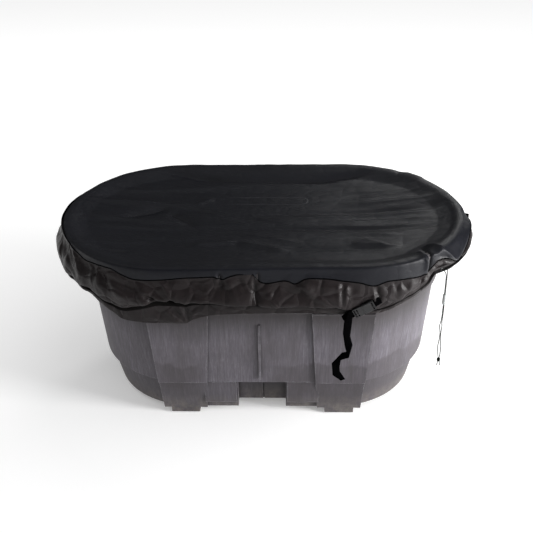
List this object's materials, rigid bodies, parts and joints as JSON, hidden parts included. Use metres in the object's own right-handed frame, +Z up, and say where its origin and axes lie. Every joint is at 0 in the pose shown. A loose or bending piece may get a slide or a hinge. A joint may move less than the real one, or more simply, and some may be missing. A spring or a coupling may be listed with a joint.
{
  "type": "livestock water trough with fitted cover",
  "caption": "Oval moulded plastic water trough with ribs, feet and a drain, under a drawstring fabric cover with a buckled strap and a cord lock.",
  "frame": {"origin": "on the ground, under the middle of the tank", "axes": "+X along the tank's length towards the end with the drawcord, +Z up, front (strap side) at -Y"},
  "size_m": [1.3755, 0.8188, 0.638],
  "materials": {
    "tank_plastic": "weathered structural foam, scuffed",
    "plug_plastic": "moulded",
    "gasket_rubber": "smooth",
    "cover_fabric": "coated woven polyester, slight sheen",
    "binding_tape": "woven tape",
    "cord": "braided",
    "webbing": "ribbed webbing",
    "lock_plastic": "moulded",
    "buckle_plastic": "moulded",
    "spring_steel": "wire",
    "eyelet_metal": "blackened"
  },
  "bodies": {
    "tank": {"tank_shell": "tank_plastic"},
    "drain_seal": {"drain_gasket": "gasket_rubber"},
    "drain_closure": {"drain_plug": "plug_plastic"},
    "cover": {"cover_top_panel": "cover_fabric", "cover_skirt": "cover_fabric", "seam_binding": "binding_tape", "hem_casing": "cover_fabric", "cord_eyelets": "eyelet_metal", "drawcord_ring": "cord", "end_pull_loop": "webbing", "drawcord_strand_left": "cord", "drawcord_strand_right": "cord", "cord_end_knot": "cord", "buckle_socket": "buckle_plastic", "strap_anchor_left": "webbing", "strap_anchor_right": "webbing"},
    "cord_lock": {"cord_lock_body": "lock_plastic", "cord_lock_spring": "spring_steel"},
    "cord_lock_button": {"cord_lock_plunger": "lock_plastic"},
    "buckle_male": {"buckle_plug": "buckle_plastic", "strap_tail": "webbing"},
    "latch_upper": {"buckle_arm_upper": "buckle_plastic"},
    "latch_lower": {"buckle_arm_lower": "buckle_plastic"}
  },
  "joints": [
    {"name": "cover_lift", "type": "slide", "parent": "tank", "child": "cover", "axis": [0, 0, 1], "range_m": [0, 0.6]},
    {"name": "drain_travel", "type": "slide", "parent": "tank", "child": "drain_seal", "axis": [-1, 0, 0], "range_m": [0, 0.025]},
    {"name": "drain_turn", "type": "hinge", "parent": "drain_seal", "child": "drain_closure", "pos_m": [-0.563, 0, 0.078], "axis": [-1, 0, 0], "range_deg": [0, 1800]},
    {"name": "buckle_release", "type": "slide", "parent": "cover", "child": "buckle_male", "axis": [-0.8708, -0.0819, -0.4848], "range_m": [0, 0.034]},
    {"name": "latch_squeeze_upper", "type": "hinge", "parent": "buckle_male", "child": "latch_upper", "pos_m": [0.31328, -0.40773, 0.50939], "axis": [-0.0937, 0.9956, 0], "range_deg": [0, 7], "stiffness_Nm_per_rad": 0.2},
    {"name": "latch_squeeze_lower", "type": "hinge", "parent": "buckle_male", "child": "latch_lower", "pos_m": [0.32081, -0.40702, 0.49574], "axis": [0.0937, -0.9956, 0], "range_deg": [0, 7], "stiffness_Nm_per_rad": 0.2},
    {"name": "cord_lock_slide", "type": "slide", "parent": "cover", "child": "cord_lock", "axis": [-0.0281, -0.0065, 0.9996], "range_m": [-0.005, 0.05]},
    {"name": "cord_lock_press", "type": "slide", "parent": "cord_lock", "child": "cord_lock_button", "axis": [0.0281, 0.0065, -0.9996], "range_m": [0, 0.0035], "stiffness_N_per_m": 300, "deforming": ["cord_lock_spring"]}
  ],
  "couplings": [
    {"joint": "drain_turn", "follows": "drain_travel", "rad_per_m": 1256.6},
    {"joint": "latch_squeeze_lower", "follows": "latch_squeeze_upper", "ratio": 1}
  ]
}
